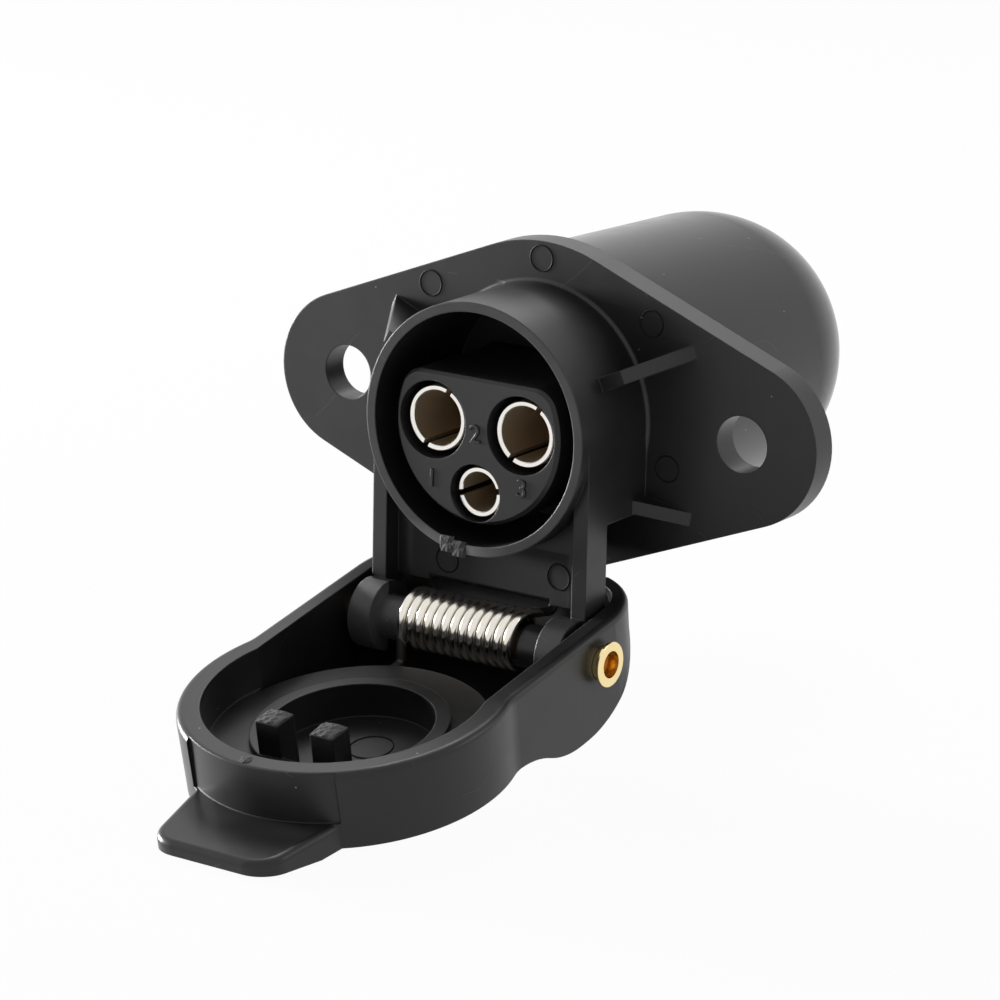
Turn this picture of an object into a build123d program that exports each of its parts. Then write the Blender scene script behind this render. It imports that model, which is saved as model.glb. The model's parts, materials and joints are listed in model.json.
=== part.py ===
from build123d import *
import os
from math import acos, cos, radians, sin, sqrt, tan

# A three-pole power socket for a trailer or an implement: a flanged moulding with a spring-loaded lid,
# a moulded contact insert and a push-on rear cap. Millimetres. X runs along the two fixing holes, Y to
# the back of the panel, Z up. The origin is on the collar's axis, in the flange's front face.

os.makedirs("parts", exist_ok=True)

# Fits, all on the radius or on one side
running_gap = 0.05
push_gap = 0.15
free_gap = 0.4

# How far a cutter or a root reaches past the face it has to pass
overreach = 1.0

# Flange
hole_pitch = 54.0
fixing_hole_radius = 3.25
flange_thickness = 3.5
flange_ear_radius = 9.5
flange_middle_radius = 19.4

# Collar round the plug
collar_radius = 14.6
collar_bore_radius = 13.45
collar_length = 13.4
collar_depth = 3.0
collar_root_fillet = 0.5
bulkhead_thickness = 4.5

# Spigot behind the flange, which carries the rear cap
spigot_wall = 1.4
spigot_length = 9.5
bead_height = 0.4
bead_width = 1.6
bead_from_end = 2.6
bead_chamfer = 0.35

# Gussets between collar and flange
gusset_thickness = 1.6
upper_gusset_angle = 25.0
upper_gusset_height = 7.8
upper_gusset_flat_to = 17.7
upper_gusset_foot = 22.6
lower_gusset_z = -8.8
lower_gusset_slant = 9.0
lower_gusset_height = 2.6
lower_gusset_foot = 20.7

# Neck that hangs from the collar and carries the hinge
neck_wall = 1.9
neck_front = 11.9
neck_back = 7.8
cheek_plate_bottom = 9.7
cheek_foot_back = 3.7
cheek_foot_lift = 1.4
web_top = 8.8
web_thickness = 1.7
web_relief_radius = 6.0
web_relief_width = 16.6

# Hinge
hinge_forward = 13.06
hinge_drop = 23.86
knuckle_radius = 4.1
knuckle_width = 3.0
knuckle_setback = 0.3
boss_radius = 2.6
rivet_radius = 1.9
rivet_bore_radius = 1.55
rivet_head_radius = 2.58
rivet_head_thickness = 0.45
rivet_end_radius = 2.4
rivet_stand_off = 0.8
rivet_edge_round = 0.13

# Torsion spring
wire_radius = 0.55
coil_outer_radius = 3.65
coil_turns = 12
coil_pitch = 1.2
coil_lift = 0.55
web_leg_angle = 80.0
web_leg_rise = 5.0
lid_leg_angle = 180.0
lid_leg_grip = 1.3
leg_bend = 1.2

# Lid, measured along it from the hinge axis and across it from the plane through that axis
lid_tilt = 11.4
lid_side_gap = 0.8
lid_ear_wall = 2.3
lid_disc_margin = 1.0
lid_disc_wall = 2.7
lid_disc_shift = 0.28
lid_back = 12.8
lid_back_wall = 2.0
lid_back_lean = 38.6
lid_back_corner = 9.5
lid_corner_inside = 5.5
lid_neck_fillet = 6.0
lid_draft = 1.5
lid_rim = 4.05
lid_face = 5.0
lid_hump = 8.2
lid_hump_flat = 1.35
lid_hump_slope = 28.6
lid_hump_round = 13.4
lid_floor_wall = 1.7
plateau_level = -0.9
plateau_radius = 15.5
plateau_lip = 2.6
plateau_lip_thickness = 1.7
ring_outer_radius = 11.1
ring_inner_radius = 9.43
ring_height = 0.9
pocket_depth = 3.2
post_side = 3.0
post_offset = 3.65
post_along = 8.2
front_recess = 0.45
front_recess_width = 19.6
tab_reach = 50.2
tab_root_width = 19.4
tab_root_inset = 0.6
tab_tip_width = 15.4
tab_thickness = 3.0
tab_tip_thickness = 1.6
tab_corner = 3.5
tab_edge_round = 0.8

# Contact insert
nose_radius = 11.05
nose_flat = 5.8
nose_corner = 3.0
nose_front = 12.7
nose_edge = 0.4
insert_flange_thickness = 2.5
retainer_thickness = 2.0

# Contacts: the two large ones side by side, the small one below
large_contact_edge = 0.6
large_contact_z = 0.15
large_sleeve_radius = 3.8
large_sleeve_bore = 3.2
large_mouth_radius = 4.5
small_contact_edge = 0.2
small_sleeve_radius = 2.88
small_sleeve_bore = 2.28
small_mouth_radius = 3.35
sleeve_recess = 0.9
sleeve_bore_depth = 15.5
sleeve_edge = 0.1
mouth_depth = 12.5
slot_width = 0.7
slot_depth = 11.0
shoulder_margin = 0.95
shoulder_thickness = 1.5
barrel_margin = 0.4
barrel_length = 11.0
barrel_wall = 1.7
cable_bore_depth = 8.5

# Screws
terminal_screw_radius = 1.5
terminal_screw_head_radius = 2.4
terminal_screw_head = 1.6
terminal_screw_grip = 0.8
terminal_screw_back = 4.0
retainer_screw_radius = 0.9
retainer_screw_wall = 0.6
retainer_screw_head_radius = 1.7
retainer_screw_head = 1.3
retainer_screw_gap = 0.2
retainer_screw_bite = 3.6
driver_slot_width = 0.6
driver_slot_depth = 0.7

# Rear cap
cap_skirt_wall = 2.0
cap_draft = 0.93
cap_shoulder_y = 34.6
cap_crown = 18.4
cap_wall = 1.8
cap_seat_depth = 0.6
outlet_radius = 6.0
outlet_bore_radius = 4.2
outlet_end = 57.8

# Planes and levels that several pieces share
flange_back = flange_thickness
bulkhead_back = collar_depth + bulkhead_thickness
spigot_end = flange_back + spigot_length
large_contact_x = nose_radius - large_mouth_radius - large_contact_edge
small_contact_z = small_mouth_radius + small_contact_edge - nose_radius
retainer_screw_circle = nose_radius + push_gap + retainer_screw_wall + retainer_screw_radius
spigot_bore = retainer_screw_circle + retainer_screw_head_radius + retainer_screw_gap
spigot_radius = spigot_bore + spigot_wall
cap_radius = spigot_radius + cap_skirt_wall
cap_shoulder_radius = cap_radius - cap_draft
insert_back = bulkhead_back + insert_flange_thickness
retainer_back = insert_back + retainer_thickness
neck_half = collar_radius
nose_cut = 2 * (nose_radius + overreach)
knuckle_outer = neck_half - knuckle_setback
knuckle_inner = knuckle_outer - knuckle_width
coil_radius = coil_outer_radius - wire_radius
coil_length = (coil_turns + (lid_leg_angle - web_leg_angle) / 360) * coil_pitch
boss_end = coil_length / 2 + wire_radius + running_gap
hinge = Vector(0, -hinge_forward, -hinge_drop)
along = Vector(0, -cos(radians(lid_tilt)), -sin(radians(lid_tilt)))
across = Vector(0, -sin(radians(lid_tilt)), cos(radians(lid_tilt)))
hinge_plane = Plane(origin=hinge, x_dir=(0, 1, 0), z_dir=(1, 0, 0))
side_plane = Plane.YZ


def front_plane(y):
    """The plane across the collar at depth y, seen from the front."""
    return Plane.XZ.offset(-y)


# Housing: flange, collar, bulkhead, spigot, gussets, neck and hinge knuckles, one moulding
neck_profile = [
    (-neck_front, 0),
    (0, 0),
    (0, -cheek_plate_bottom),
    (-neck_back, -cheek_plate_bottom),
    (-neck_back, -hinge_drop + knuckle_radius),
    (-hinge_forward + cheek_foot_back, -hinge_drop + cheek_foot_lift),
    (-neck_front, -hinge_drop + cheek_foot_lift),
]

with BuildPart() as housing:
    with BuildSketch(front_plane(0)):
        Circle(flange_middle_radius)
        with Locations((-hole_pitch / 2, 0), (hole_pitch / 2, 0)):
            Circle(flange_ear_radius)
        make_hull()
    extrude(amount=-flange_thickness)
    with BuildSketch(front_plane(0)):
        Circle(collar_radius)
    extrude(amount=collar_length)
    collar_root = housing.edges().filter_by(GeomType.CIRCLE).filter_by(lambda e: abs(e.center().Y) < 0.01)
    fillet(collar_root.filter_by(lambda e: abs(e.radius - collar_radius) < 0.01), collar_root_fillet)
    # the spigot with its bead, and the shallow seat for the cap's edge
    with BuildSketch(front_plane(flange_back)):
        Circle(cap_radius + free_gap)
        Circle(spigot_radius, mode=Mode.SUBTRACT)
    extrude(amount=cap_seat_depth, mode=Mode.SUBTRACT)
    with BuildSketch(front_plane(flange_back - cap_seat_depth)):
        Circle(spigot_radius)
    extrude(amount=-spigot_length - cap_seat_depth)
    with BuildSketch(front_plane(spigot_end - bead_from_end - bead_width)):
        Circle(spigot_radius + bead_height)
        Circle(spigot_radius - spigot_wall / 2, mode=Mode.SUBTRACT)
    extrude(amount=-bead_width)
    bead_edges = housing.edges().filter_by(GeomType.CIRCLE)
    bead_edges = bead_edges.filter_by(lambda e: abs(e.radius - spigot_radius - bead_height) < 0.01)
    chamfer(bead_edges, bead_chamfer)
    # upper gussets, radial
    gusset_cos = cos(radians(upper_gusset_angle))
    gusset_sin = sin(radians(upper_gusset_angle))
    gusset_plane = Plane(origin=(0, 0, 0), x_dir=(gusset_cos, 0, gusset_sin), z_dir=(gusset_sin, 0, -gusset_cos))
    with BuildSketch(gusset_plane):
        Polygon(
            (collar_radius - overreach, -overreach),
            (upper_gusset_foot, -overreach),
            (upper_gusset_foot, 0),
            (upper_gusset_flat_to, upper_gusset_height),
            (collar_radius - overreach, upper_gusset_height),
            align=None,
        )
    upper_gusset = extrude(amount=gusset_thickness / 2, both=True)
    mirror(upper_gusset, about=Plane.YZ)
    # lower gussets, small ribs from the neck's plates down to the flange
    slant_cos = cos(radians(lower_gusset_slant))
    slant_sin = sin(radians(lower_gusset_slant))
    slant_plane = Plane(
        origin=(neck_half, 0, lower_gusset_z),
        x_dir=(slant_cos, 0, -slant_sin),
        z_dir=(-slant_sin, 0, -slant_cos),
    )
    with BuildSketch(slant_plane):
        Polygon(
            (-neck_wall / 2, -overreach),
            ((lower_gusset_foot - neck_half) / slant_cos, -overreach),
            ((lower_gusset_foot - neck_half) / slant_cos, 0),
            (0, lower_gusset_height),
            (-neck_wall / 2, lower_gusset_height),
            align=None,
        )
    lower_gusset = extrude(amount=gusset_thickness / 2, both=True)
    mirror(lower_gusset, about=Plane.YZ)
    # the neck's side plates, its web and the knuckles
    with BuildSketch(side_plane.offset(neck_half)):
        Polygon(*neck_profile, align=None)
    neck_plate = extrude(amount=-neck_wall)
    mirror(neck_plate, about=Plane.YZ)
    with BuildSketch(front_plane(-neck_back)):
        with Locations((0, (-web_top - hinge_drop + knuckle_radius) / 2)):
            Rectangle(2 * neck_half - neck_wall, hinge_drop - knuckle_radius - web_top)
    extrude(amount=web_thickness)
    with BuildSketch(hinge_plane):
        Circle(web_relief_radius)
    extrude(amount=web_relief_width / 2, both=True, mode=Mode.SUBTRACT)
    with BuildSketch(hinge_plane.offset(knuckle_inner)):
        Circle(knuckle_radius)
    knuckle = extrude(amount=knuckle_width)
    mirror(knuckle, about=Plane.YZ)
    with BuildSketch(hinge_plane.offset(boss_end)):
        Circle(boss_radius)
    boss = extrude(amount=knuckle_inner - boss_end + knuckle_width / 2)
    mirror(boss, about=Plane.YZ)
    # bores: collar, nose opening, spigot, rivet, fixing holes and the retainer's screws
    with BuildSketch(front_plane(-collar_length)):
        Circle(collar_bore_radius)
    extrude(amount=-collar_length - collar_depth, mode=Mode.SUBTRACT)
    with BuildSketch(front_plane(collar_depth)) as nose_opening:
        Circle(nose_radius + push_gap)
        with Locations((0, nose_flat + push_gap)):
            Rectangle(nose_cut, nose_cut, align=(Align.CENTER, Align.MIN), mode=Mode.SUBTRACT)
        fillet(nose_opening.vertices(), nose_corner)
    extrude(amount=-bulkhead_thickness, mode=Mode.SUBTRACT)
    with BuildSketch(front_plane(bulkhead_back)):
        Circle(spigot_bore)
    extrude(amount=bulkhead_back - spigot_end, mode=Mode.SUBTRACT)
    with BuildSketch(front_plane(0)):
        with Locations((-hole_pitch / 2, 0), (hole_pitch / 2, 0)):
            Circle(fixing_hole_radius)
    extrude(amount=-flange_thickness, mode=Mode.SUBTRACT)
    with BuildSketch(hinge_plane):
        Circle(rivet_radius + running_gap)
    extrude(amount=neck_half + overreach, both=True, mode=Mode.SUBTRACT)
    with BuildSketch(front_plane(bulkhead_back)):
        with PolarLocations(retainer_screw_circle, 3, start_angle=90):
            Circle(retainer_screw_radius + running_gap)
    extrude(amount=retainer_screw_bite + free_gap, mode=Mode.SUBTRACT)

housing.part.label = "housing"
export_step(housing.part, "parts/housing.step")

# Lid planes: seen from inside the lid, and from its side
lid_plan = Plane(origin=hinge, x_dir=(-1, 0, 0), z_dir=across)
lid_side = Plane(origin=hinge, x_dir=along, z_dir=(-1, 0, 0))
disc_centre = hinge_drop - lid_disc_shift
ear_inner = neck_half + lid_side_gap
ear_outer = ear_inner + lid_ear_wall
lid_disc_radius = ear_outer + lid_disc_margin
lid_front = disc_centre + lid_disc_radius
cup_radius = lid_disc_radius - lid_disc_wall
back_lean = radians(lid_back_lean)
back_inner = lid_back - lid_back_wall / cos(back_lean)


def side_profile(back, hump, face, rounding, front):
    """Draws the lid's section: leaning back wall, rounded hump under the hinge, then up to the disc's level."""
    foot_level = rounding * (1 - sin(back_lean)) - hump
    foot = (lid_rim - foot_level) * tan(back_lean) - back
    blend = (hump - face) / 2 / (1 - cos(radians(lid_hump_slope)))
    with BuildLine() as section:
        wall = Line((-back, lid_rim), (foot, foot_level))
        corner = RadiusArc(wall @ 1, (foot + rounding * cos(back_lean), -hump), -rounding)
        flat = Line(corner @ 1, corner @ 1 + (lid_hump_flat, 0))
        first = JernArc(flat @ 1, (1, 0), blend, lid_hump_slope)
        second = JernArc(first @ 1, first % 1, blend, -lid_hump_slope)
        floor = Line(second @ 1, (front, -face))
        Polyline(floor @ 1, (front, lid_rim), wall @ 0)
    make_face(section.edges())


def ears(half_width, back):
    """Draws the lid's straight part, from the back wall to the middle of the disc."""
    with Locations((0, (disc_centre - back) / 2)):
        Rectangle(2 * half_width, disc_centre + back)


# The space under the hinge, as a core: down to the hump, and under the plateau's lip
with BuildPart() as hinge_core:
    with BuildSketch(lid_plan.offset(-lid_hump)) as core_plan:
        ears(ear_inner, back_inner)
        fillet(core_plan.vertices().group_by(Axis.Y)[0], lid_corner_inside)
        with Locations((0, disc_centre)):
            Circle(plateau_radius, mode=Mode.SUBTRACT)
    extrude(amount=lid_hump + lid_rim)
    with BuildSketch(lid_plan.offset(-lid_hump)):
        with Locations((0, disc_centre)):
            Circle(plateau_radius + running_gap)
            Circle(plateau_radius - plateau_lip, mode=Mode.SUBTRACT)
        Rectangle(2 * ear_outer, 2 * (disc_centre - ring_outer_radius), mode=Mode.INTERSECT)
    extrude(amount=lid_hump + plateau_level - plateau_lip_thickness)
    with BuildSketch(lid_side):
        side_profile(
            back_inner,
            lid_hump - lid_floor_wall,
            lid_face - lid_floor_wall,
            lid_hump_round - lid_back_wall,
            disc_centre,
        )
    extrude(amount=lid_disc_radius + overreach, both=True, mode=Mode.INTERSECT)

with BuildPart() as lid:
    with BuildSketch(lid_plan.offset(lid_rim)) as lid_outline:
        with Locations((0, disc_centre)):
            Circle(lid_disc_radius)
        ears(ear_outer, lid_back)
        fillet(lid_outline.vertices().group_by(Axis.Y)[0], lid_back_corner)
        fillet(lid_outline.vertices().group_by(Axis.Y)[-1], lid_neck_fillet)
    extrude(amount=-lid_hump - lid_rim, taper=lid_draft)
    with BuildSketch(lid_side):
        side_profile(lid_back, lid_hump, lid_face, lid_hump_round, lid_front + overreach)
    extrude(amount=lid_disc_radius + overreach, both=True, mode=Mode.INTERSECT)
    # thumb tab, its underside rising from the lid's face to a thin tip
    tab_root = disc_centre + cup_radius - lid_disc_wall
    tab_taper = disc_centre + cup_radius - tab_root_inset
    with BuildSketch(lid_plan.offset(-lid_face)) as tab_plan:
        Polygon(
            (-tab_root_width / 2, tab_root),
            (tab_root_width / 2, tab_root),
            (tab_root_width / 2, tab_taper),
            (tab_tip_width / 2, tab_reach),
            (-tab_tip_width / 2, tab_reach),
            (-tab_root_width / 2, tab_taper),
            align=None,
        )
        fillet(tab_plan.vertices().group_by(Axis.Y)[-1], tab_corner)
    extrude(amount=tab_thickness)
    tab_tip_level = tab_thickness - tab_tip_thickness - lid_face
    with BuildSketch(lid_side):
        Polygon(
            (lid_front, -lid_face),
            (tab_reach, tab_tip_level),
            (tab_reach + overreach, tab_tip_level),
            (tab_reach + overreach, -lid_face - overreach),
            (lid_front, -lid_face - overreach),
            align=None,
        )
    extrude(amount=tab_root_width, both=True, mode=Mode.SUBTRACT)
    tab_edges = lid.edges().filter_by(lambda e: (e.center() - hinge).dot(along) > lid_front)
    tab_top = tab_edges.filter_by(lambda e: (e.center() - hinge).dot(across) > tab_thickness - lid_face - running_gap)
    fillet(tab_top, tab_edge_round)
    # the straight front stretch above the tab stands back a little
    with BuildSketch(lid_plan.offset(lid_rim)):
        with Locations((0, disc_centre + lid_disc_radius)):
            Rectangle(front_recess_width, lid_disc_radius)
        with Locations((0, disc_centre)):
            Circle(lid_disc_radius - front_recess, mode=Mode.SUBTRACT)
    extrude(amount=tab_thickness - lid_face - lid_rim, mode=Mode.SUBTRACT)
    # inside: the cup over the plateau, the hinge space, the pocket with its ring, and the two posts
    with BuildSketch(lid_plan.offset(plateau_level)):
        with Locations((0, disc_centre)):
            Circle(cup_radius)
    extrude(amount=lid_rim - plateau_level, mode=Mode.SUBTRACT)
    add(hinge_core.part, mode=Mode.SUBTRACT)
    with BuildSketch(lid_plan.offset(plateau_level)):
        with Locations((0, disc_centre)):
            Circle(ring_inner_radius)
    extrude(amount=-pocket_depth, mode=Mode.SUBTRACT)
    with BuildSketch(lid_plan.offset(plateau_level)):
        with Locations((0, disc_centre)):
            Circle(ring_outer_radius)
            Circle(ring_inner_radius, mode=Mode.SUBTRACT)
    extrude(amount=ring_height)
    with BuildSketch(lid_plan.offset(plateau_level - pocket_depth)):
        with Locations((-post_offset, disc_centre + post_along), (post_offset, disc_centre + post_along)):
            Rectangle(post_side, post_side)
    extrude(amount=lid_rim - plateau_level + pocket_depth)
    with BuildSketch(hinge_plane):
        Circle(rivet_radius + running_gap)
    extrude(amount=ear_outer + overreach, both=True, mode=Mode.SUBTRACT)

lid.part.label = "lid"
export_step(lid.part, "parts/lid.step")

# Hinge rivet: a brass tube through both ears, headed at one end and rolled over at the other
rivet_outer_x = ear_outer + rivet_stand_off
with BuildPart() as hinge_rivet:
    with BuildSketch(Plane(origin=hinge, x_dir=(1, 0, 0), z_dir=(0, 0, 1))):
        Polygon(
            (-rivet_outer_x - rivet_head_thickness, rivet_bore_radius),
            (rivet_outer_x + rivet_head_thickness, rivet_bore_radius),
            (rivet_outer_x + rivet_head_thickness, rivet_head_radius),
            (rivet_outer_x, rivet_head_radius),
            (rivet_outer_x, rivet_radius),
            (-rivet_outer_x, rivet_radius),
            (-rivet_outer_x, rivet_end_radius),
            (-rivet_outer_x - rivet_head_thickness, rivet_end_radius),
            align=None,
        )
    revolve(axis=Axis(hinge, (1, 0, 0)))
    rim_edges = hinge_rivet.edges().filter_by(GeomType.CIRCLE)
    rim_edges = rim_edges.filter_by(lambda e: e.radius > rivet_radius + running_gap)
    fillet(rim_edges, rivet_edge_round)

hinge_rivet.part.label = "hinge_rivet"
export_step(hinge_rivet.part, "parts/hinge_rivet.step")

# Torsion spring: a close coil round the rivet. One leg passes under the neck's web and stands up behind
# it, the other runs down from the coil and hooks forward under the plateau's lip
def turned(angle):
    """The direction at an angle about the hinge axis, from the back towards the top."""
    return Vector(0, cos(radians(angle)), sin(radians(angle)))


coil_plane = Plane(
    origin=hinge + Vector(coil_length / 2, 0, coil_lift),
    x_dir=turned(web_leg_angle),
    z_dir=(-1, 0, 0),
)
coil = coil_plane * Helix(coil_pitch, coil_length, coil_radius, lefthand=True)
wire_gap = wire_radius + running_gap
web_leg_start = coil @ 0
web_leg_turn = web_leg_start - (coil % 0) * ((-neck_back + wire_gap - web_leg_start.Y) / -(coil % 0).Y)
web_leg_end = web_leg_turn + Vector(0, 0, web_leg_rise)
lid_leg_start = coil @ 1
lip_level = plateau_level - plateau_lip_thickness - wire_gap
lid_leg_drop = (lip_level - (lid_leg_start - hinge).dot(across)) / (coil % 1).dot(across)
lid_leg_turn = lid_leg_start + (coil % 1) * lid_leg_drop
lip_edge = disc_centre - sqrt(plateau_radius**2 - lid_leg_turn.X**2)
lid_leg_end = lid_leg_turn + along * (lip_edge + lid_leg_grip - (lid_leg_turn - hinge).dot(along))

with BuildPart() as torsion_spring:
    with BuildSketch(Plane(origin=coil @ 0, z_dir=coil % 0)):
        Circle(wire_radius)
    sweep(path=coil, is_frenet=True)
    with BuildLine() as web_leg:
        FilletPolyline(web_leg_start, web_leg_turn, web_leg_end, radius=leg_bend)
    with BuildSketch(Plane(origin=web_leg.line @ 0, z_dir=web_leg.line % 0)):
        Circle(wire_radius)
    sweep(path=web_leg.line)
    with BuildLine() as lid_leg:
        FilletPolyline(lid_leg_start, lid_leg_turn, lid_leg_end, radius=leg_bend)
    with BuildSketch(Plane(origin=lid_leg.line @ 0, z_dir=lid_leg.line % 0)):
        Circle(wire_radius)
    sweep(path=lid_leg.line)

torsion_spring.part.label = "torsion_spring"
export_step(torsion_spring.part, "parts/torsion_spring.step")

# Contact insert: a moulded block with a flat-topped round nose, put in from the back
# name, place across and up, sleeve radius, bore radius, mouth radius, angle of the slot in degrees
contacts = [
    ("left", -large_contact_x, large_contact_z, large_sleeve_radius, large_sleeve_bore, large_mouth_radius, 65),
    ("right", large_contact_x, large_contact_z, large_sleeve_radius, large_sleeve_bore, large_mouth_radius, 60),
    ("small", 0, small_contact_z, small_sleeve_radius, small_sleeve_bore, small_mouth_radius, 10),
]

with BuildPart() as contact_insert:
    with BuildSketch(front_plane(-nose_front)) as nose:
        Circle(nose_radius)
        with Locations((0, nose_flat)):
            Rectangle(nose_cut, nose_cut, align=(Align.CENTER, Align.MIN), mode=Mode.SUBTRACT)
        fillet(nose.vertices(), nose_corner)
    extrude(amount=-nose_front - bulkhead_back)
    nose_edges = contact_insert.faces().sort_by(Axis.Y)[0].edges()
    chamfer(nose_edges, nose_edge)
    with BuildSketch(front_plane(bulkhead_back)):
        Circle(spigot_bore - push_gap)
    extrude(amount=-insert_flange_thickness)
    for name, x, z, sleeve_radius, sleeve_bore, mouth_radius, slot_angle in contacts:
        with BuildSketch(front_plane(-nose_front)):
            with Locations((x, z)):
                Circle(mouth_radius)
        extrude(amount=-mouth_depth, mode=Mode.SUBTRACT)
        with BuildSketch(front_plane(-nose_front + mouth_depth)):
            with Locations((x, z)):
                Circle(sleeve_radius + push_gap)
        extrude(amount=-insert_back - nose_front + mouth_depth, mode=Mode.SUBTRACT)
        with BuildSketch(front_plane(insert_back)):
            with Locations((x, z)):
                Circle(sleeve_radius + shoulder_margin + push_gap)
        extrude(amount=shoulder_thickness, mode=Mode.SUBTRACT)
    with BuildSketch(front_plane(insert_back)):
        with PolarLocations(retainer_screw_circle, 3, start_angle=90):
            Circle(retainer_screw_radius + push_gap)
    extrude(amount=insert_flange_thickness, mode=Mode.SUBTRACT)

contact_insert.part.label = "contact_insert"
export_step(contact_insert.part, "parts/contact_insert.step")

# Retainer plate: screwed behind the insert, it traps the contacts' shoulders
with BuildPart() as contact_retainer:
    with BuildSketch(front_plane(insert_back)):
        Circle(spigot_bore - push_gap)
        for name, x, z, sleeve_radius, sleeve_bore, mouth_radius, slot_angle in contacts:
            with Locations((x, z)):
                Circle(sleeve_radius + barrel_margin + push_gap, mode=Mode.SUBTRACT)
        with PolarLocations(retainer_screw_circle, 3, start_angle=90):
            Circle(retainer_screw_radius + push_gap, mode=Mode.SUBTRACT)
    extrude(amount=-retainer_thickness)

contact_retainer.part.label = "contact_retainer"
export_step(contact_retainer.part, "parts/contact_retainer.step")

# Contacts: each is turned in one piece, a split sleeve in front, a shoulder, and a screw barrel behind
for name, x, z, sleeve_radius, sleeve_bore, mouth_radius, slot_angle in contacts:
    sleeve_front = -nose_front + sleeve_recess
    barrel_radius = sleeve_radius + barrel_margin
    screw_y = insert_back + barrel_length - terminal_screw_back
    screw_side = 1 if z > small_contact_z / 2 else -1
    with BuildPart() as contact:
        with BuildSketch(front_plane(sleeve_front)):
            with Locations((x, z)):
                Circle(sleeve_radius)
        extrude(amount=sleeve_front - insert_back)
        with BuildSketch(front_plane(insert_back - shoulder_thickness)):
            with Locations((x, z)):
                Circle(sleeve_radius + shoulder_margin)
        extrude(amount=-shoulder_thickness)
        with BuildSketch(front_plane(insert_back)):
            with Locations((x, z)):
                Circle(barrel_radius)
        extrude(amount=-barrel_length)
        with BuildSketch(front_plane(sleeve_front)):
            with Locations((x, z)):
                Circle(sleeve_bore)
        extrude(amount=-sleeve_bore_depth, mode=Mode.SUBTRACT)
        chamfer(contact.faces().sort_by(Axis.Y)[0].edges(), sleeve_edge)
        with BuildSketch(front_plane(sleeve_front)):
            with Locations(Location((x, z), slot_angle)):
                Rectangle(2 * (sleeve_radius + overreach), slot_width)
        extrude(amount=-slot_depth, mode=Mode.SUBTRACT)
        with BuildSketch(front_plane(insert_back + barrel_length)):
            with Locations((x, z)):
                Circle(barrel_radius - barrel_wall)
        extrude(amount=cable_bore_depth, mode=Mode.SUBTRACT)
        with BuildSketch(Plane(origin=(x, screw_y, z), x_dir=(1, 0, 0), z_dir=(0, 0, screw_side))):
            Circle(terminal_screw_radius + running_gap)
        extrude(amount=2 * barrel_radius, mode=Mode.SUBTRACT)
    contact.part.label = f"contact_{name}"
    export_step(contact.part, f"parts/contact_{name}.step")

    screw_foot = z + screw_side * (barrel_radius - barrel_wall - terminal_screw_grip)
    screw_shank = barrel_wall + terminal_screw_grip
    with BuildPart() as terminal_screw:
        with BuildSketch(Plane(origin=(x, screw_y, screw_foot), x_dir=(1, 0, 0), z_dir=(0, 0, screw_side))):
            Circle(terminal_screw_radius)
        extrude(amount=screw_shank)
        head_plane = Plane(
            origin=(x, screw_y, screw_foot + screw_side * screw_shank),
            x_dir=(1, 0, 0),
            z_dir=(0, 0, screw_side),
        )
        with BuildSketch(head_plane):
            Circle(terminal_screw_head_radius)
        extrude(amount=terminal_screw_head)
        with BuildSketch(head_plane.offset(terminal_screw_head)):
            Rectangle(2 * (terminal_screw_head_radius + overreach), driver_slot_width)
        extrude(amount=-driver_slot_depth, mode=Mode.SUBTRACT)
    terminal_screw.part.label = f"terminal_screw_{name}"
    export_step(terminal_screw.part, f"parts/terminal_screw_{name}.step")

# Retainer screws: three self-tapping screws through plate and insert into the bulkhead
screw_places = PolarLocations(retainer_screw_circle, 3, start_angle=90).local_locations
for name, place in zip(("top", "left", "right"), screw_places):
    x = place.position.X
    z = place.position.Y
    screw_length = retainer_screw_bite + insert_flange_thickness + retainer_thickness
    with BuildPart() as retainer_screw:
        with BuildSketch(front_plane(retainer_back)):
            with Locations((x, z)):
                Circle(retainer_screw_radius)
        extrude(amount=screw_length)
        with BuildSketch(front_plane(retainer_back)):
            with Locations((x, z)):
                Circle(retainer_screw_head_radius)
        extrude(amount=-retainer_screw_head)
        with BuildSketch(front_plane(retainer_back + retainer_screw_head)):
            with Locations((x, z)):
                Rectangle(2 * (retainer_screw_head_radius + overreach), driver_slot_width)
        extrude(amount=driver_slot_depth, mode=Mode.SUBTRACT)
    retainer_screw.part.label = f"retainer_screw_{name}"
    export_step(retainer_screw.part, f"parts/retainer_screw_{name}.step")

# Rear cap: a soft moulded bell pushed over the spigot, with an open cable outlet
crown_centre = cap_shoulder_radius - cap_crown
crown_end = cap_shoulder_y + sqrt(cap_crown**2 - (outlet_radius - crown_centre) ** 2)
inner_crown = cap_crown - cap_wall
inner_end = cap_shoulder_y + sqrt(inner_crown**2 - (outlet_bore_radius - crown_centre) ** 2)
crown_turn = acos((outlet_radius - crown_centre) / cap_crown)
inner_turn = acos((outlet_bore_radius - crown_centre) / inner_crown)
cap_bore = spigot_radius + push_gap
bead_front = spigot_end - bead_from_end - bead_width - push_gap
bead_back = spigot_end - bead_from_end + push_gap


def crown_point(radius, turn):
    """A point of the cap's crown, at an angle from the shoulder."""
    return (crown_centre + radius * cos(turn), cap_shoulder_y + radius * sin(turn))


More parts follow.
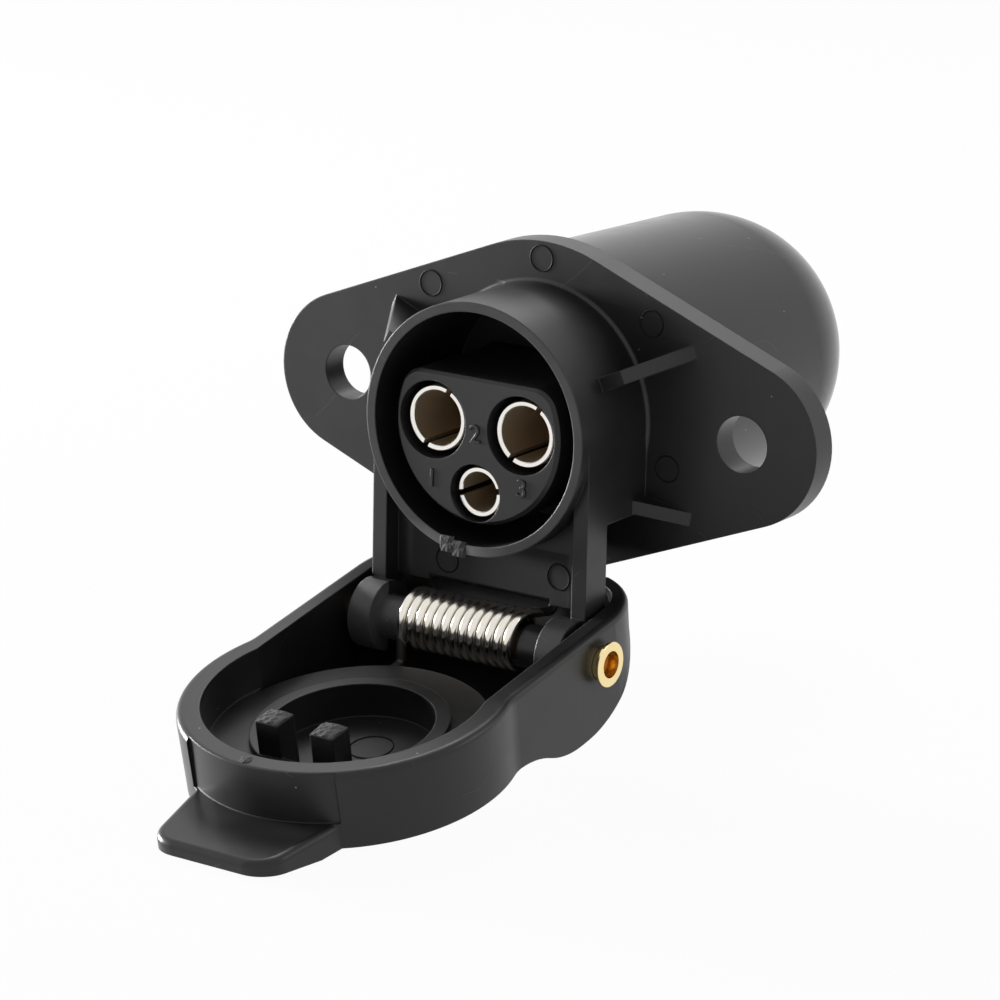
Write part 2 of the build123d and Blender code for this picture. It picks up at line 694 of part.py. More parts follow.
with BuildPart() as rear_cap:
    with BuildSketch(Plane.XY):
        with BuildLine():
            edge = Line((cap_bore, flange_back - cap_seat_depth), (cap_radius, flange_back - cap_seat_depth))
            bell = Line(edge @ 1, (cap_shoulder_radius, cap_shoulder_y))
            crown = ThreePointArc(bell @ 1, crown_point(cap_crown, crown_turn / 2), (outlet_radius, crown_end))
            spout = Line(crown @ 1, (outlet_radius, outlet_end))
            mouth = Line(spout @ 1, (outlet_bore_radius, outlet_end))
            bore = Line(mouth @ 1, (outlet_bore_radius, inner_end))
            inside = ThreePointArc(
                bore @ 1,
                crown_point(inner_crown, inner_turn / 2),
                (cap_shoulder_radius - cap_wall, cap_shoulder_y),
            )
            Polyline(
                inside @ 1,
                (cap_bore, spigot_end + free_gap),
                (cap_bore, bead_back),
                (cap_bore + bead_height, bead_back),
                (cap_bore + bead_height, bead_front),
                (cap_bore, bead_front),
                edge @ 0,
            )
        make_face()
    revolve(axis=Axis.Y)

rear_cap.part.label = "rear_cap"
export_step(rear_cap.part, "parts/rear_cap.step")
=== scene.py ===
import json
import math

import bmesh
import bpy
from mathutils import Matrix, Vector


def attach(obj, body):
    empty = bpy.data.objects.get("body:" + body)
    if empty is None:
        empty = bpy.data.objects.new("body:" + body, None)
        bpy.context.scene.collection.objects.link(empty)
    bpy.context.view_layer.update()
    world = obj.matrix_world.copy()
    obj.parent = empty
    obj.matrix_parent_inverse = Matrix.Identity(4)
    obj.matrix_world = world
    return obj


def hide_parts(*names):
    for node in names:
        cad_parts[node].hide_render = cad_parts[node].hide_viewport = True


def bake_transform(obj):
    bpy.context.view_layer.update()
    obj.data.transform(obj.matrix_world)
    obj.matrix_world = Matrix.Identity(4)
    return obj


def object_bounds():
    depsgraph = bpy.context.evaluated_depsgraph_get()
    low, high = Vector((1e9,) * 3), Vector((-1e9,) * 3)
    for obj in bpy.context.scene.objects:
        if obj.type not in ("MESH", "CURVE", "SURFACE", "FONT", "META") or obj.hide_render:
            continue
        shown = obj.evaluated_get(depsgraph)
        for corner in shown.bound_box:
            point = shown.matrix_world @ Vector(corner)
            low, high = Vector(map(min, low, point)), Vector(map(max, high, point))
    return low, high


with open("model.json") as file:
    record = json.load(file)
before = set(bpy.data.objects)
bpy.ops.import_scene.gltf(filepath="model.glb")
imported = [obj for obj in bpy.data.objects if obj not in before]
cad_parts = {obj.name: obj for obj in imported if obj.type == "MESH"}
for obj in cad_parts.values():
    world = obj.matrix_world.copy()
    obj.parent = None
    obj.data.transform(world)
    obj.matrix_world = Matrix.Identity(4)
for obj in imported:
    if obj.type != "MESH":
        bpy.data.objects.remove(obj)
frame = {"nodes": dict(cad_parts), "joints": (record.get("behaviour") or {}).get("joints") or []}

cad_box = [list(corner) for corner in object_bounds()]
mm = 0.001

# Camera: it looks at the socket from the front right and a little above, through a long lens,
# with the lid hanging open towards it. The white studio behind it is empty.
camera_azimuth = math.radians(33.739)
camera_elevation = math.radians(15.496)
camera_roll = math.radians(1.222)
camera_distance = 472.16 * mm
camera_lens = 148.6
camera_near = 10 * mm
target_right = -4.448 * mm
target_up = -10.606 * mm

looking = Vector((
    -math.sin(camera_azimuth) * math.cos(camera_elevation),
    math.cos(camera_azimuth) * math.cos(camera_elevation),
    -math.sin(camera_elevation),
))
level_right = Vector((math.cos(camera_azimuth), math.sin(camera_azimuth), 0))
level_up = level_right.cross(looking)
camera_right = level_right * math.cos(camera_roll) + level_up * math.sin(camera_roll)
camera_up = level_up * math.cos(camera_roll) - level_right * math.sin(camera_roll)
camera_place = camera_right * target_right + camera_up * target_up - looking * camera_distance
camera = bpy.data.objects.new("camera", bpy.data.cameras.new("camera"))
camera.data.sensor_fit = "HORIZONTAL"
camera.data.lens = camera_lens
camera.data.clip_start = camera_near
camera_turn = Matrix((camera_right, camera_up, -looking)).transposed().to_4x4()
camera.matrix_world = Matrix.Translation(camera_place) @ camera_turn
bpy.context.scene.collection.objects.link(camera)
bpy.context.scene.camera = camera
bpy.context.scene.view_settings.view_transform = "Standard"


# Studio: a white sweep under and behind the part, bright in the picture and in reflections, with a soft
# key lamp low at the left, a lamp above and behind, and a weak one at the right. None of it is the part.
class Signal:
    """A value inside a node tree: sums, products and comparisons of signals add their own Math nodes."""

    def __init__(self, bench, socket):
        self.bench = bench
        self.socket = socket

    def combine(self, operation, *values):
        return self.bench.node("ShaderNodeMath", {"operation": operation}, values)

    def clamp(self):
        return self.bench.node("ShaderNodeClamp", {}, (self, 0.0, 1.0))

    def __add__(self, other):
        return self.combine("ADD", self, other)

    def __sub__(self, other):
        return self.combine("SUBTRACT", self, other)

    def __rsub__(self, other):
        return self.combine("SUBTRACT", other, self)

    def __mul__(self, other):
        return self.combine("MULTIPLY", self, other)

    def __truediv__(self, other):
        return self.combine("DIVIDE", self, other)

    def __pow__(self, other):
        return self.combine("POWER", self, other)

    def __gt__(self, other):
        return self.combine("GREATER_THAN", self, other)

    def __lt__(self, other):
        return self.combine("LESS_THAN", self, other)

    def __abs__(self):
        return self.combine("ABSOLUTE", self)

    __radd__ = __add__
    __rmul__ = __mul__


class Bench:
    """A node tree, to which every node is added by the same method."""

    def __init__(self, tree):
        self.tree = tree
        self.tree.nodes.clear()

    def node(self, kind, settings=None, values=(), output=0):
        """Adds a node: its settings first, then a value, a signal or a list of signals for each socket."""
        made = self.tree.nodes.new(kind)
        for name, value in (settings or {}).items():
            setattr(made, name, value)
        for key, value in values.items() if isinstance(values, dict) else enumerate(values):
            if isinstance(value, (Signal, list)):
                for signal in value if isinstance(value, list) else [value]:
                    self.tree.links.new(signal.socket, made.inputs[key])
            else:
                made.inputs[key].default_value = value
        return Signal(self, made.outputs[output] if len(made.outputs) else None)


class Finish(Bench):
    """A surface finish: the shading of a material, or of the studio's air."""

    def __init__(self, owner):
        owner.use_nodes = True
        self.owner = owner
        super().__init__(owner.node_tree)

    def mix(self, share, first, second):
        """Mixes two colours by a share of the second."""
        return self.node("ShaderNodeMix", {"data_type": "RGBA"}, {0: share, 6: first, 7: second}, output=2)

    def place(self):
        """The piece's own coordinates, in metres."""
        return self.node("ShaderNodeTexCoord", output="Object")

    def noise(self, place, size, detail=2.0):
        """Soft clouds about size metres across, from 0 to 1."""
        return self.node("ShaderNodeTexNoise", {}, {"Vector": place, "Scale": 1 / size, "Detail": detail})

    def across(self, place, direction):
        """How far a place lies along a direction, in metres."""
        values = (place, direction)
        return self.node("ShaderNodeVectorMath", {"operation": "DOT_PRODUCT"}, values, output="Value")

    def seen(self):
        """One for rays from the camera and off glossy or clear surfaces, and nothing for all others."""
        camera_ray = self.node("ShaderNodeLightPath", output="Is Camera Ray")
        path = camera_ray.socket.node
        glossy = camera_ray.combine("MAXIMUM", camera_ray, Signal(self, path.outputs["Is Glossy Ray"]))
        return glossy.combine("MAXIMUM", glossy, Signal(self, path.outputs["Is Transmission Ray"]))


ambient = 0.07
floor_gap = 0.3 * mm
floor_size = 4.0
floor_white = (0.86, 0.86, 0.86, 1)
floor_glow = 0.96

studio = Finish(bpy.data.worlds.new("studio"))
bpy.context.scene.world = studio.owner
strength = studio.seen() * (1 - ambient) + ambient
air = studio.node("ShaderNodeBackground", {}, {"Color": (1, 1, 1, 1), "Strength": strength})
studio.node("ShaderNodeOutputWorld", {}, {"Surface": air})

floor_mesh = bmesh.new()
bmesh.ops.create_grid(floor_mesh, x_segments=1, y_segments=1, size=floor_size)
bmesh.ops.translate(floor_mesh, verts=floor_mesh.verts, vec=(0, 0, cad_box[0][2] - floor_gap))
floor = bpy.data.objects.new("floor", bpy.data.meshes.new("floor"))
floor_mesh.to_mesh(floor.data)
bpy.context.scene.collection.objects.link(floor)
sweep = Finish(bpy.data.materials.new("floor_white"))
matt = sweep.node("ShaderNodeBsdfDiffuse", {}, {"Color": floor_white})
light = sweep.node("ShaderNodeEmission", {}, {"Color": (1, 1, 1, 1), "Strength": 1.0})
surface = sweep.node("ShaderNodeMixShader", {}, {0: sweep.seen() * floor_glow, 1: matt, 2: light})
sweep.node("ShaderNodeOutputMaterial", {}, {"Surface": surface})
floor.data.materials.append(sweep.owner)

lamps = [
    # name, place in millimetres, size in millimetres, watts
    ("lamp_left", (-700, -80, 25), 220, 17.0),
    ("lamp_behind", (-160, 330, 520), 360, 2.0),
    ("lamp_right", (560, 300, 250), 260, 0.5),
]
for name, place, size, watts in lamps:
    lamp = bpy.data.objects.new(name, bpy.data.lights.new(name, "AREA"))
    lamp.data.shape = "DISK"
    lamp.data.size = size * mm
    lamp.data.energy = watts
    lamp.location = Vector(place) * mm
    lamp.rotation_mode = "QUATERNION"
    lamp.rotation_quaternion = (-lamp.location).to_track_quat("-Z", "Y")
    bpy.context.scene.collection.objects.link(lamp)


# Housing: flange, collar, neck and hinge knuckles in one black glass-filled moulding. It came out of the
# mould on ejector pins, whose round witness marks show on the flange and on the neck's web, and its gate
# left a torn scar at the foot of the collar's rim.
flow_size = 11 * mm
flow_dark = (0.82, 0.8, 0.85)
flow_pale = (1.2, 1.17, 1.24)
smudge_size = 3.2 * mm
grain_size = 0.19 * mm
grain_depth = 0.02 * mm
edge_pale = (2.6, 2.55, 2.6)
edge_spread = 7.0
scuff_size = 14 * mm
scuff_width = 0.0012
scuffed_area = 7 * mm
scuff_grey = (0.16, 0.155, 0.15, 1)
speck_cells = 520.0  # to the metre
speck_radius = 0.06
speck_rarity = 0.86
speck_grey = (0.45, 0.44, 0.42, 1)
# The grey of the painted highlight on the collar's rim.
painted_highlight_grey = (0.25, 0.245, 0.25, 1)


def shade(colour, shares):
    """A grey level as a colour, with its shares of red, green and blue."""
    return tuple(colour * share for share in shares) + (1,)


def cover(finish, values):
    """Ends a finish with a Principled surface of these values, and gives its material."""
    surface = finish.node("ShaderNodeBsdfPrincipled", {}, values)
    finish.node("ShaderNodeOutputMaterial", {}, {"Surface": surface})
    return finish.owner


def moulded(name, colour, gloss, roughness, grain, edge, polish=None, painted_highlight=None):
    """Black moulded plastic: satin grain, flow clouds, smudges, hairline scuffs, dust, and edges rubbed a
    little paler. polish says how much smoother it is by place, and the last argument where a painted
    highlight makes it paler."""
    finish = Finish(bpy.data.materials.new(name))
    place = finish.place()
    cloud = finish.noise(place, flow_size, 3.0)
    smudge = finish.noise(place, smudge_size, 4.0)
    fine = finish.noise(place, grain_size)
    scuff_line = abs(finish.noise(place, scuff_size, 0.0) - 0.5) < scuff_width
    scuffs = scuff_line * (finish.noise(place, scuffed_area, 0.0) > 0.56)
    cells = {"Vector": place, "Scale": speck_cells}
    cell = finish.node("ShaderNodeTexVoronoi", {}, cells, output="Distance")
    chance = finish.node("ShaderNodeSeparateColor", {}, (Signal(finish, cell.socket.node.outputs["Color"]),))
    specks = (cell < speck_radius) * (chance > speck_rarity)
    rounded = finish.node("ShaderNodeBevel", {"samples": 6}, {"Radius": edge})
    true_normal = finish.node("ShaderNodeNewGeometry", output="Normal")
    on_edge = ((1 - finish.across(rounded, true_normal)) * edge_spread).clamp()
    rubbed = on_edge * (0.35 + smudge * 0.6)

    tint = finish.mix(cloud, shade(colour, flow_dark), shade(colour, flow_pale))
    tint = finish.mix(rubbed * 0.5, tint, shade(colour, edge_pale))
    if painted_highlight:
        # Painted highlight: paler grey where the last argument says.
        tint = finish.mix((painted_highlight(finish, place) * (0.4 + smudge)).clamp(), tint, painted_highlight_grey)
    tint = finish.mix(scuffs * 0.35, tint, scuff_grey)
    tint = finish.mix(specks * 0.7, tint, speck_grey)
    rough = roughness + (cloud - 0.5) * 0.1 + (smudge - 0.5) * 0.14 + scuffs * 0.15 + rubbed * 0.25
    if polish:
        rough = rough - polish(finish, place)
    height = fine * 0.5 + cloud * 2.0
    relief = {"Strength": grain, "Distance": grain_depth, "Height": height, "Normal": rounded}
    grained = finish.node("ShaderNodeBump", {}, relief)
    surface = {"Base Color": tint, "Roughness": rough.clamp(), "Normal": grained, "Specular IOR Level": gloss}
    return cover(finish, surface)


def dress(node, material):
    """Gives a CAD node its finish."""
    piece = frame["nodes"][node]
    piece.data.materials.clear()
    piece.data.materials.append(material)


class Jig(Bench):
    """A Geometry Nodes tree with named sizes, which grows a piece from points or lines."""

    def __init__(self, name, sizes):
        super().__init__(bpy.data.node_groups.new(name, "GeometryNodeTree"))
        sockets = self.tree.interface
        sockets.new_socket("Start", in_out="INPUT", socket_type="NodeSocketGeometry")
        self.handles = {}
        for size in sizes:
            handle = sockets.new_socket(size, in_out="INPUT", socket_type="NodeSocketFloat")
            self.handles[size] = handle.identifier
        sockets.new_socket("Made", in_out="OUTPUT", socket_type="NodeSocketGeometry")
        self.given = self.tree.nodes.new("NodeGroupInput")

    def take(self, name):
        """A named size, or the start mesh."""
        return Signal(self, self.given.outputs[name])

    def circle(self, radius, steps):
        """A circle in so many steps, flat on its own plane."""
        sizes = {"Resolution": steps, "Radius": radius}
        return self.node("GeometryNodeCurvePrimitiveCircle", {"mode": "RADIUS"}, sizes)

    def stand(self, shape):
        """Stands a copy of a shape on every start point, turned about X by the size named tilt."""
        tilt = self.node("ShaderNodeCombineXYZ", {}, {"X": self.take("tilt")})
        turned = self.node("FunctionNodeEulerToRotation", {}, (tilt,))
        copies = {"Points": self.take("Start"), "Instance": shape, "Rotation": turned}
        return self.node("GeometryNodeInstanceOnPoints", {}, copies)

    def close(self, shape, material):
        """Ends the tree: instances made real, and the finish put on."""
        whole = self.node("GeometryNodeRealizeInstances", {}, {"Geometry": shape})
        dressed = self.node("GeometryNodeSetMaterial", {}, {"Geometry": whole, "Material": material})
        self.node("NodeGroupOutput", {}, {"Made": dressed})

    def make(self, name, points, lines, sizes, slot):
        """Runs the tree on a start mesh of points and lines, and keeps the result as a plain mesh."""
        start = bpy.data.meshes.new(name)
        start.from_pydata([Vector(point) for point in points], lines, [])
        piece = bpy.data.objects.new(name, start)
        bpy.context.scene.collection.objects.link(piece)
        modifier = piece.modifiers.new(name, "NODES")
        modifier.node_group = self.tree
        for size, value in sizes.items():
            modifier[self.handles[size]] = value
        ready = piece.evaluated_get(bpy.context.evaluated_depsgraph_get())
        mesh = bpy.data.meshes.new_from_object(ready)
        piece.modifiers.remove(modifier)
        piece.data = mesh
        for face in mesh.polygons:
            face.use_smooth = True
        return piece


web_front = -9.5 * mm
web_half = 11.0 * mm
web_top = -13.5 * mm
web_reach = 0.3 * mm
web_fade = 0.6 * mm
web_dullness = 0.4


def web_unpolished(finish, place):
    """The web between the cheeks was out of the mould polisher's reach, and is duller than the rest."""
    inside = ((web_half - abs(finish.across(place, (1, 0, 0)))) / web_fade).clamp()
    level = abs(finish.across(place, (0, 1, 0)) - web_front) < web_reach
    return inside * level * (finish.across(place, (0, 0, 1)) < web_top) * -web_dullness


rim_front = -13.25 * mm
rim_highlight_top = -11.5 * mm
rim_highlight_fade = 2.5 * mm
rim_highlight_right = 5 * mm


def rim_painted_highlight(finish, place):
    """Painted highlight on the front of the collar's rim: a little all round, and most at the foot of its
    left side.
    """
    rim = finish.across(place, (0, 1, 0)) < rim_front
    low = ((rim_highlight_top - finish.across(place, (0, 0, 1))) / rim_highlight_fade).clamp()
    left = ((rim_highlight_right - finish.across(place, (1, 0, 0))) / rim_highlight_right).clamp()
    return rim * (low * left * 0.85 + 0.12)


housing_black = moulded(
    "housing_black",
    colour=0.028,
    gloss=0.37,
    roughness=0.36,
    grain=0.2,
    edge=0.22 * mm,
    polish=web_unpolished,
    # Painted highlight on the collar's rim.
    painted_highlight=rim_painted_highlight,
)
dress("housing", housing_black)

quarter_turn = math.pi / 2
pin_radius = 1.5 * mm
pin_line = 0.11 * mm
pin_steps = 40
pin_line_steps = 8
flange_pins = [(-15.3, 12.4), (-0.1, 17.4), (14.8, 12.0), (17.45, -4.4)]
web_pins = [(-5.8, -17.0), (9.4, -16.3)]

pins = Jig("pin_marks", ["radius", "line", "tilt"])
pin_path = pins.circle(pins.take("radius"), pin_steps)
pin_section = pins.circle(pins.take("line"), pin_line_steps)
pin_ring = pins.node("GeometryNodeCurveToMesh", {}, {"Curve": pin_path, "Profile Curve": pin_section})
# The rings are near black: painted shadow, for the shade along the edge of each shallow recessed mark.
painted_shadow_black = moulded("painted_shadow_black", colour=0.007, gloss=0.15, roughness=0.6, grain=0.3, edge=0.05 * mm)
pins.close(pins.stand(pin_ring), painted_shadow_black)
pin_places = [(x * mm, 0, z * mm) for x, z in flange_pins]
pin_places += [(x * mm, web_front, z * mm) for x, z in web_pins]
pin_sizes = {"radius": pin_radius, "line": pin_line, "tilt": quarter_turn}
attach(pins.make("housing_pin_marks", pin_places, [], pin_sizes, "housing_plastic"), "socket")

# Torn plastic: a low block whose upper face is rugged, and lower towards its corners.
torn_steps = 26
torn_lumps = 1150.0  # to the metre
torn_crown = 0.9
torn = Jig("torn_tops", ["side", "height", "tilt", "roughness"])
torn_side = torn.take("side")
torn_size = torn.node("ShaderNodeCombineXYZ", {}, {"X": torn_side, "Y": torn_side, "Z": torn.take("height")})
torn_grid = {"Size": torn_size, "Vertices X": torn_steps, "Vertices Y": torn_steps, "Vertices Z": 3}
block = torn.node("GeometryNodeMeshCube", {}, torn_grid, output="Mesh")
at = torn.node("GeometryNodeInputPosition")
parts = torn.node("ShaderNodeSeparateXYZ", {}, (at,))
right, back, up = (Signal(torn, parts.socket.node.outputs[axis]) for axis in ("X", "Y", "Z"))
lump_values = {"Vector": at, "Scale": torn_lumps, "Detail": 4.0, "Roughness": 0.7}
lumps = torn.node("ShaderNodeTexNoise", {}, lump_values)
crown = (right * right + back * back) / (torn_side * torn_side) * torn_crown
rise = (lumps - 0.5 - crown) * torn.take("roughness") * (up > 0)
offset = torn.node("ShaderNodeCombineXYZ", {}, {"Z": rise})
rugged = torn.node("GeometryNodeSetPosition", {}, {"Geometry": block, "Offset": offset})
torn_grey = moulded("torn_grey", colour=0.075, gloss=0.3, roughness=0.7, grain=1.0, edge=0.05 * mm)
torn.close(torn.stand(rugged), torn_grey)

# The collar's gate scar, a ragged bite in the rim, takes the same near-black finish: black plastic, with
# painted shade in the bite.
scar_places = [(-3.2 * mm, -13.4 * mm, -13.75 * mm), (-1.6 * mm, -13.4 * mm, -14.1 * mm)]
scar_sizes = {"side": 1.9 * mm, "height": 0.24 * mm, "tilt": quarter_turn, "roughness": 0.32 * mm}
scar = torn.make("collar_gate_scar", scar_places, [], scar_sizes, "housing_plastic")
scar.data.materials[0] = painted_shadow_black
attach(scar, "socket")

# Contact insert: a black moulded block pushed in from behind, its poles numbered in small raised figures
# beside the sleeves. The retainer plate screwed behind it is the same plastic.
insert_black = moulded("insert_black", colour=0.028, gloss=0.36, roughness=0.36, grain=0.2, edge=0.12 * mm)
dress("contact_insert", insert_black)
dress("contact_retainer", insert_black)

figure_height = 2.1 * mm
font_ratio = 1.4  # the font's size to the height of its figures
figure_rise = 0.12 * mm
figure_bevel = 0.05 * mm
nose_face = -12.7 * mm
figures = [("1", -5.9, -6.7), ("2", -0.1, -0.7), ("3", 6.3, -6.0)]
for figure, x, z in figures:
    text = bpy.data.curves.new("figure", "FONT")
    text.body = figure
    text.size = figure_height * font_ratio
    text.extrude = figure_rise
    text.bevel_depth = figure_bevel
    text.align_x = "CENTER"
    text.align_y = "CENTER"
    shape = bpy.data.objects.new("figure", text)
    bpy.context.scene.collection.objects.link(shape)
    ready = shape.evaluated_get(bpy.context.evaluated_depsgraph_get())
    mesh = bpy.data.meshes.new_from_object(ready)
    bpy.data.objects.remove(shape)
    mesh.transform(Matrix.Translation((x * mm, nose_face, z * mm)) @ Matrix.Rotation(quarter_turn, 4, "X"))
    piece = bpy.data.objects.new("pole_figure_" + figure, mesh)
    bpy.context.scene.collection.objects.link(piece)
    mesh.materials.clear()
    mesh.materials.append(insert_black)
    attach(piece, "socket")


# Contacts: turned brass sleeves with bright nickel plate, split at the front so that they grip the pins.
# Their bores are bare brass gone brown, and dark where no light gets in.
dull_cloud_size = 3 * mm
dull_share = 0.8
mark_depth = 0.01 * mm


def metal(name, colour, roughness, marks, stain_and_shade=None, stain_and_shade_colour=None):
    """Bright metal with fine turning marks and a few dull clouds. The fifth argument says where it is
    darker and duller: real brown stain in the contacts' bores, painted shade on the rivet's shank and on
    the spring's legs. The last argument gives its colour there."""
    finish = Finish(bpy.data.materials.new(name))
    place = finish.place()
    fine = finish.noise(place, marks, 3.0)
    cloud = finish.noise(place, dull_cloud_size, 2.0)
    dull = tuple(level * dull_share for level in colour) + (1,)
    tint = finish.mix(cloud * 0.6, colour + (1,), dull)
    rough = roughness + (fine - 0.5) * 0.12 + (cloud - 0.5) * 0.08
    bright = 1.0
    if stain_and_shade:
        share = stain_and_shade(finish, place)
        tint = finish.mix(share, tint, stain_and_shade_colour)
        rough = rough + share * 0.3
        bright = 1 - share * 0.75
    bumped = finish.node("ShaderNodeBump", {}, {"Strength": 0.25, "Distance": mark_depth, "Height": fine})
    surface = {"Base Color": tint, "Metallic": bright, "Roughness": rough.clamp(), "Normal": bumped}
    return cover(finish, surface)


sleeve_front = -11.8 * mm
bare_depth = 0.35 * mm


def bore_brown(finish, place):
    """Brown from just behind the sleeve's front end, where the plating stops."""
    return ((finish.across(place, (0, 1, 0)) - sleeve_front) / bare_depth).clamp() * 0.92


nickel = metal(
    "contact_nickel",
    colour=(0.93, 0.9, 0.85),
    roughness=0.2,
    marks=0.15 * mm,
    stain_and_shade=bore_brown,
    stain_and_shade_colour=(0.5, 0.38, 0.24, 1),
)
for node in ("contact_left", "contact_right", "contact_small"):
    dress(node, nickel)

# Screws: turned steel screws with driving slots, zinc plated. Three of them clamp the cable's cores in the
# contacts, and three hold the retainer plate behind the insert.
zinc = metal("zinc_plate", colour=(0.62, 0.63, 0.66), roughness=0.32, marks=0.12 * mm)
for node in frame["nodes"]:
    if "screw" in node:
        dress(node, zinc)

# Hinge rivet: brass, tubular at both ends and rolled over on washers of its own metal. The rims are
# bright. A deep orange cone in each end of the bore is painted reflection, for light bounced round
# inside the brass tube, and the shank inside the spring is darkened as painted shade.
rivet_floor = 17.6 * mm
rivet_bore = 1.55 * mm
rivet_tip = 0.9 * mm
rivet_steps = 48
hinge_y, hinge_z = frame["joints"][0]["pos_m"][1:]
shank_half = 15 * mm
shank_fade = 0.5 * mm


def shank_painted_shade(finish, place):
    """Painted shade: dark on the shank between the lid's ears, which is only seen through the spring."""
    return ((shank_half - abs(finish.across(place, (1, 0, 0)))) / shank_fade).clamp() * 0.95


rivet_brass = metal(
    "rivet_brass",
    colour=(0.96, 0.78, 0.4),
    roughness=0.14,
    marks=0.1 * mm,
    stain_and_shade=shank_painted_shade,
    stain_and_shade_colour=(0.06, 0.045, 0.03, 1),
)
# Painted reflection: deep orange for the cones that stand for the lit inside of the brass tube.
bore_painted_reflection = metal("rivet_bore_painted_reflection", colour=(0.75, 0.33, 0.05), roughness=0.42, marks=0.1 * mm)
dress("hinge_rivet", rivet_brass)

drilled = Jig("drilled_ends", ["bore", "depth", "reach"])
cone_sizes = {
    "Vertices": rivet_steps,
    "Radius Top": 0.0,
    "Radius Bottom": drilled.take("bore"),
    "Depth": drilled.take("depth"),
}
cone = drilled.node("GeometryNodeMeshCone", {"fill_type": "NGON"}, cone_sizes, output="Mesh")
ends = []
for side in (-1, 1):
    lie = drilled.node("FunctionNodeEulerToRotation", {}, ((0, -side * quarter_turn, 0),))
    end_point = {"X": drilled.take("reach") * side, "Y": hinge_y, "Z": hinge_z}
    end_place = drilled.node("ShaderNodeCombineXYZ", {}, end_point)
    turned_cone = {"Geometry": cone, "Translation": end_place, "Rotation": lie}
    ends.append(drilled.node("GeometryNodeTransform", {}, turned_cone))
drilled.close(drilled.node("GeometryNodeJoinGeometry", {}, {"Geometry": ends}), bore_painted_reflection)
drilled_sizes = {"bore": rivet_bore, "depth": rivet_tip, "reach": rivet_floor}
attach(drilled.make("rivet_bore_reflection_cones", [(0, 0, 0)], [], drilled_sizes, "rivet_brass"), "socket")

# Torsion spring: bright plated steel wire wound close round the rivet. One leg stands up behind the
# neck's web, the other hooks under the lid's plateau, so the coil winds up as the lid opens.
wire_radius = 0.55 * mm
wire_steps = 16
coil_radius = 3.1 * mm
coil_pitch = 1.2 * mm
coil_lift = 0.55 * mm
coil_start = math.radians(80.0)
coil_turns = 12
coil_sweep = 2 * math.pi * coil_turns + math.radians(100.0)
coil_half = coil_sweep / (2 * math.pi) * coil_pitch / 2
coil_steps = 560
leg_bend = 0.8 * mm
leg_bend_steps = 10
hinge = Vector((0, hinge_y, hinge_z))
lid_tilt = math.radians(11.4)
along = Vector((0, -math.cos(lid_tilt), -math.sin(lid_tilt)))
across = Vector((0, -math.sin(lid_tilt), math.cos(lid_tilt)))


def coil_place(angle, x):
    """A place on the middle of the coil's wire."""
    return hinge + Vector((x, math.cos(angle) * coil_radius, math.sin(angle) * coil_radius + coil_lift))


behind_web = -7.2 * mm
web_leg_top = 5.0 * mm
under_lip = -3.5 * mm
lip_reach = 11.2 * mm
back_leg = coil_place(coil_start, coil_half)
back_run = Vector((0, math.sin(coil_start), -math.cos(coil_start)))
back_turn = back_leg + back_run * ((behind_web - back_leg.y) / back_run.y)
front_leg = coil_place(coil_start + coil_sweep, -coil_half)
front_run = Vector((0, 0, -1))
front_turn = front_leg + front_run * ((under_lip - (front_leg - hinge).dot(across)) / front_run.dot(across))
front_end = front_turn + along * (lip_reach - (front_turn - hinge).dot(along))
legs = [back_leg, back_turn, back_turn + Vector((0, 0, web_leg_top)), front_leg, front_turn, front_end]
leg_lines = [(0, 1), (1, 2), (3, 4), (4, 5)]
# The spring's legs are painted dark as shade, outward from the coil.
shaded_legs_radius = 3.75 * mm
shaded_legs_fade = 0.3 * mm


def legs_painted_shade(finish, place):
    """Painted shade on the legs, dark from where they leave the coil."""
    back = finish.across(place, (0, 1, 0)) - hinge_y
    up = finish.across(place, (0, 0, 1)) - hinge_z - coil_lift
    return (((back * back + up * up) ** 0.5 - shaded_legs_radius) / shaded_legs_fade).clamp()


spring_wire = metal(
    "spring_wire",
    colour=(0.84, 0.8, 0.73),
    roughness=0.17,
    marks=0.08 * mm,
    stain_and_shade=legs_painted_shade,
    stain_and_shade_colour=(0.05, 0.045, 0.04, 1),
)
spring = Jig("wound_wire", ["wire", "radius", "half length", "start", "sweep", "lift", "bend"])
line_ends = {"Start": (0, 0, 0), "End": (1, 0, 0)}
straight = spring.node("GeometryNodeCurvePrimitiveLine", {"mode": "POINTS"}, line_ends)
line_steps = {"Curve": straight, "Count": coil_steps}
marked = spring.node("GeometryNodeResampleCurve", {"mode": "COUNT"}, line_steps)
share = spring.node("GeometryNodeSplineParameter", output="Factor")
angle = spring.take("start") + share * spring.take("sweep")
coil_at = {
    "X": spring.take("half length") * (1 - share * 2),
    "Y": angle.combine("COSINE", angle) * spring.take("radius") + hinge_y,
    "Z": angle.combine("SINE", angle) * spring.take("radius") + spring.take("lift") + hinge_z,
}
coil_position = spring.node("ShaderNodeCombineXYZ", {}, coil_at)
coil = spring.node("GeometryNodeSetPosition", {}, {"Geometry": marked, "Position": coil_position})
bare_legs = spring.node("GeometryNodeMeshToCurve", {}, {"Mesh": spring.take("Start")})
bends = {"Curve": bare_legs, "Count": leg_bend_steps, "Radius": spring.take("bend"), "Limit Radius": True}
bent_legs = spring.node("GeometryNodeFilletCurve", {"mode": "POLY"}, bends)
wire_path = spring.node("GeometryNodeJoinGeometry", {}, {"Geometry": [coil, bent_legs]})
wire_section = spring.circle(spring.take("wire"), wire_steps)
wire_sweep = {"Curve": wire_path, "Profile Curve": wire_section, "Fill Caps": True}
spring.close(spring.node("GeometryNodeCurveToMesh", {}, wire_sweep), spring_wire)
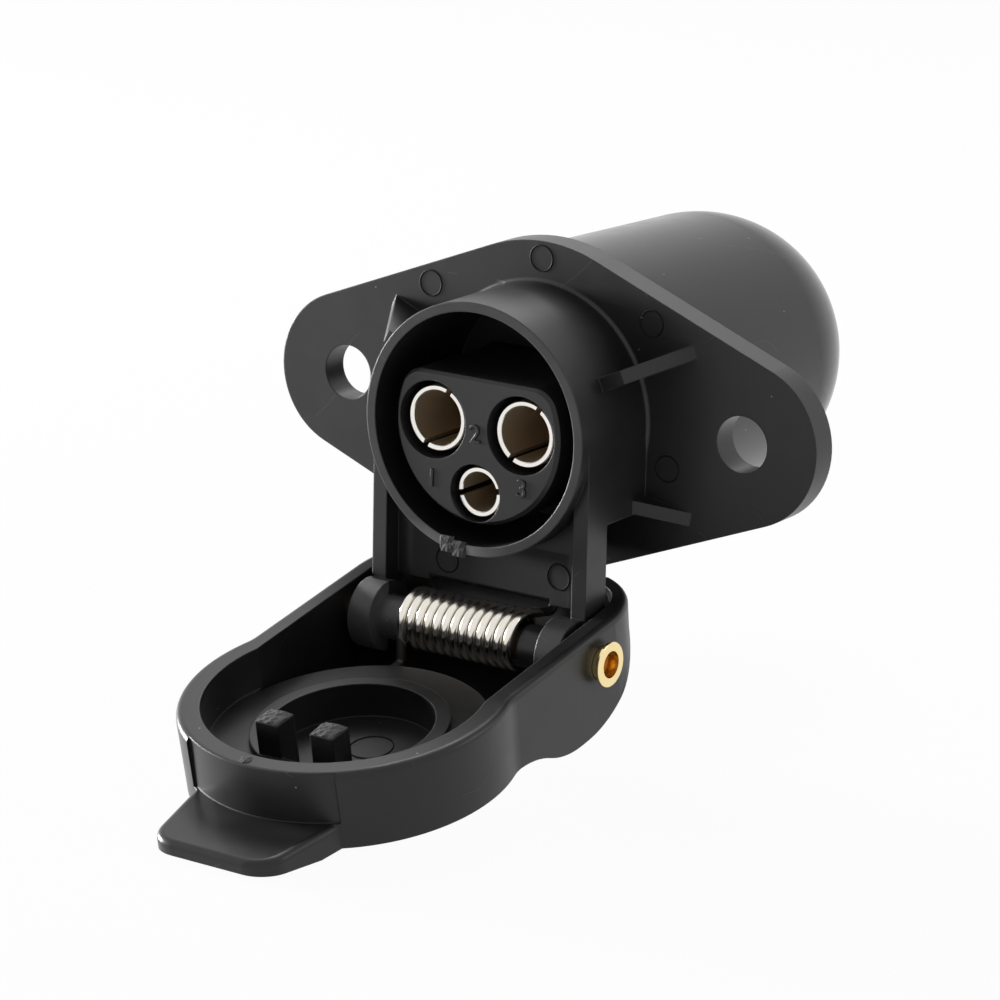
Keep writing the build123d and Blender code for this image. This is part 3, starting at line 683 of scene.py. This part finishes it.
spring_sizes = {
    "wire": wire_radius,
    "radius": coil_radius,
    "half length": coil_half,
    "start": coil_start,
    "sweep": coil_sweep,
    "lift": coil_lift,
    "bend": leg_bend,
}
wound = spring.make("wound_spring", legs, leg_lines, spring_sizes, "spring_wire")
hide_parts("torsion_spring")
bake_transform(wound)

# Lid: one black moulding. Its thumb tab is polished by fingers, the tops of its two posts and a scar on
# its front wall are torn where they broke from their gates, and an ejector pin left a ring in its pocket.
tab_start = 43.2 * mm
tab_fade = 1.5 * mm
tab_smoothness = 0.06


def tab_polish(finish, place):
    """Fingers have polished the thumb tab, from where it leaves the lid's rim outwards."""
    off = finish.node("ShaderNodeVectorMath", {"operation": "SUBTRACT"}, (place, tuple(hinge)))
    return ((finish.across(off, tuple(along)) - tab_start) / tab_fade).clamp() * tab_smoothness


lid_black = moulded(
    "lid_black",
    colour=0.022,
    gloss=0.35,
    roughness=0.36,
    grain=0.2,
    edge=0.25 * mm,
    polish=tab_polish,
)
dress("lid", lid_black)


def lid_place(right, out, up):
    """A place on the lid: how far right of the middle, out from the hinge, and up from the lid's plane."""
    return tuple(hinge + Vector((right, 0, 0)) + along * out + across * up)


# The pocket's pin ring is near black as painted shadow too.
pocket_pin = (0.5 * mm, 21.0 * mm, -4.06 * mm)
pocket_sizes = {"radius": 2.5 * mm, "line": 0.09 * mm, "tilt": lid_tilt}
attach(pins.make("pocket_pin_mark", [lid_place(*pocket_pin)], [], pocket_sizes, "lid_plastic"), "lid")

post_across = 3.65 * mm
post_along = 31.78 * mm
post_top = 4.05 * mm
post_places = [lid_place(side * post_across, post_along, post_top) for side in (-1, 1)]
torn_sizes = {"side": 2.94 * mm, "height": 0.5 * mm, "tilt": lid_tilt, "roughness": 0.55 * mm}
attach(torn.make("torn_post_tops", post_places, [], torn_sizes, "lid_plastic"), "lid")

nub = (-0.8 * mm, 40.75 * mm, 4.05 * mm)
nub_sizes = {"side": 1.4 * mm, "height": 0.26 * mm, "tilt": lid_tilt, "roughness": 0.45 * mm}
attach(torn.make("lid_gate_scar", [lid_place(*nub)], [], nub_sizes, "lid_plastic"), "lid")

# Rear cap: a soft black moulding pushed over the spigot, smooth and glossier than the rest, with a broad
# soft sheen over its crown.
cap_black = moulded("cap_black", colour=0.015, gloss=0.38, roughness=0.18, grain=0.1, edge=0.3 * mm)
dress("rear_cap", cap_black)
